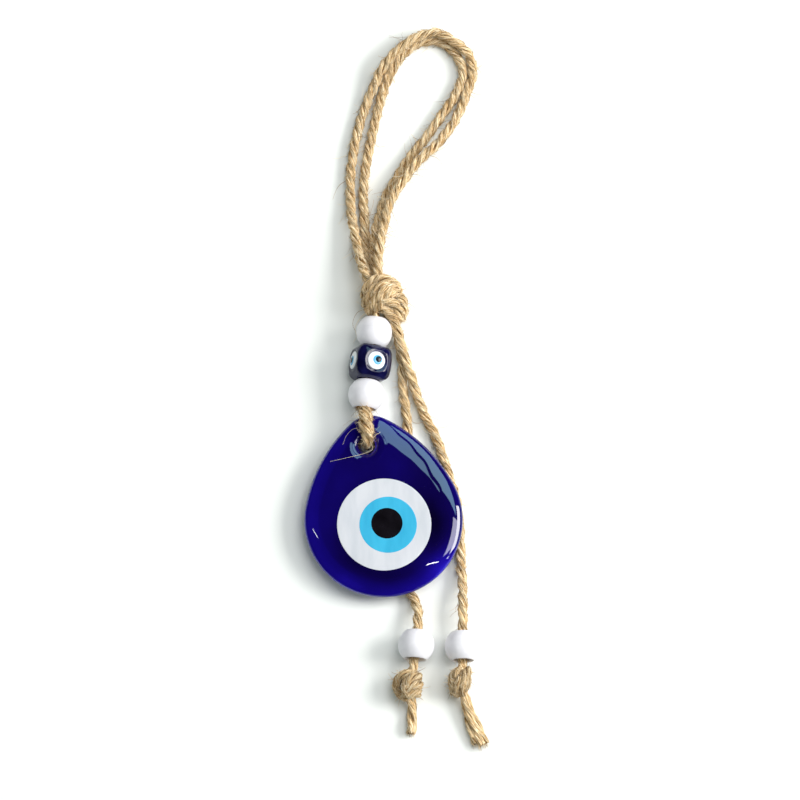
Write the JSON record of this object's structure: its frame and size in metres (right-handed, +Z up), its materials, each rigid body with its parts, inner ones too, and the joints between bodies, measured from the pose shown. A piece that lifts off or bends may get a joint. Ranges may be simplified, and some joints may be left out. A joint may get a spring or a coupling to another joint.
{
  "type": "evil eye ornament",
  "caption": "Hanging charm: a flat glass teardrop with a ringed eye on a doubled jute cord with round and cube beads, a knotted hanging loop and beaded tails.",
  "frame": {"origin": "middle of the pendant, beads and main knot in X and Y, on the floor the ornament lies on", "axes": "+Z up from the floor, out of the pendant's front face; +Y from the pendant to the hanging loop; +X to the right seen from the front"},
  "size_m": [0.0611, 0.244, 0.014],
  "materials": {
    "cobalt_glass": "gloss, deep cobalt blue, almost opaque",
    "white_glass": "gloss, opaque white",
    "light_blue_glass": "gloss, opaque light blue",
    "black_glass": "gloss, opaque black",
    "navy_glass": "gloss, opaque dark navy",
    "white_bead": "soft satin white",
    "jute": "rough, three-ply, fuzzy natural jute"
  },
  "bodies": {
    "knot": {"main_knot": "jute"},
    "hanging_loop": {"loop_cord_outer": "jute", "loop_cord_inner": "jute"},
    "bead_strand": {"bead_cord_front": "jute", "bead_cord_back": "jute"},
    "upper_bead": {"upper_bead": "white_bead"},
    "cube_bead": {"cube_bead_glass": "navy_glass", "cube_eye_white_front": "white_glass", "cube_eye_iris_front": "light_blue_glass", "cube_eye_pupil_front": "black_glass", "cube_eye_white_right": "white_glass", "cube_eye_iris_right": "light_blue_glass", "cube_eye_pupil_right": "black_glass", "cube_eye_white_back": "white_glass", "cube_eye_iris_back": "light_blue_glass", "cube_eye_pupil_back": "black_glass", "cube_eye_white_left": "white_glass", "cube_eye_iris_left": "light_blue_glass", "cube_eye_pupil_left": "black_glass"},
    "lower_bead": {"lower_bead": "white_bead"},
    "bight": {"pendant_bight": "jute"},
    "pendant": {"pendant_glass": "cobalt_glass", "pendant_eye_white": "white_glass", "pendant_eye_iris": "light_blue_glass", "pendant_eye_pupil": "black_glass"},
    "left_tail": {"left_tail_cord": "jute", "left_stopper_knot": "jute", "left_tail_end": "jute"},
    "left_tail_bead": {"left_tail_bead": "white_bead"},
    "right_tail": {"right_tail_cord": "jute", "right_stopper_knot": "jute", "right_tail_end": "jute"},
    "right_tail_bead": {"right_tail_bead": "white_bead"}
  },
  "joints": [
    {"name": "hanging_loop_lift", "type": "hinge", "parent": "knot", "child": "hanging_loop", "pos_m": [-0.0042, 0.0546, 0.0065], "axis": [1, 0, 0], "range_deg": [0, 60]},
    {"name": "bead_strand_lift", "type": "hinge", "parent": "knot", "child": "bead_strand", "pos_m": [-0.0025, 0.0404, 0.0069], "axis": [-1, 0, 0], "range_deg": [0, 35]},
    {"name": "upper_bead_spin", "type": "hinge", "parent": "bead_strand", "child": "upper_bead", "pos_m": [-0.0031, 0.0348, 0.0069], "axis": [-0.1212, -0.9926, 0], "continuous": true},
    {"name": "cube_bead_spin", "type": "hinge", "parent": "bead_strand", "child": "cube_bead", "pos_m": [-0.00439, 0.02423, 0.0069], "axis": [-0.1212, -0.9926, 0], "continuous": true},
    {"name": "lower_bead_spin", "type": "hinge", "parent": "bead_strand", "child": "lower_bead", "pos_m": [-0.00568, 0.01366, 0.0069], "axis": [-0.1212, -0.9926, 0], "continuous": true},
    {"name": "pendant_lift", "type": "hinge", "parent": "bead_strand", "child": "bight", "pos_m": [-0.0062, 0.00894, 0.0069], "axis": [-1, 0, 0], "range_deg": [0, 25]},
    {"name": "pendant_swing", "type": "hinge", "parent": "bight", "child": "pendant", "pos_m": [-0.0056, -0.0039, 0.0059], "axis": [0, 0, 1], "range_deg": [-10, 10]},
    {"name": "left_tail_swing", "type": "hinge", "parent": "knot", "child": "left_tail", "pos_m": [0.0025, 0.0392, 0.0036], "axis": [0, 0, 1], "range_deg": [-10, 0]},
    {"name": "left_tail_bead_slide", "type": "slide", "parent": "left_tail", "child": "left_tail_bead", "axis": [0.0698, 0.9976, 0], "range_m": [-0.0022, 0.004]},
    {"name": "right_tail_swing", "type": "hinge", "parent": "knot", "child": "right_tail", "pos_m": [0.0035, 0.039, 0.0074], "axis": [0, 0, 1], "range_deg": [0, 30]},
    {"name": "right_tail_bead_slide", "type": "slide", "parent": "right_tail", "child": "right_tail_bead", "axis": [0, 1, 0], "range_m": [-0.0015, 0.012]}
  ]
}
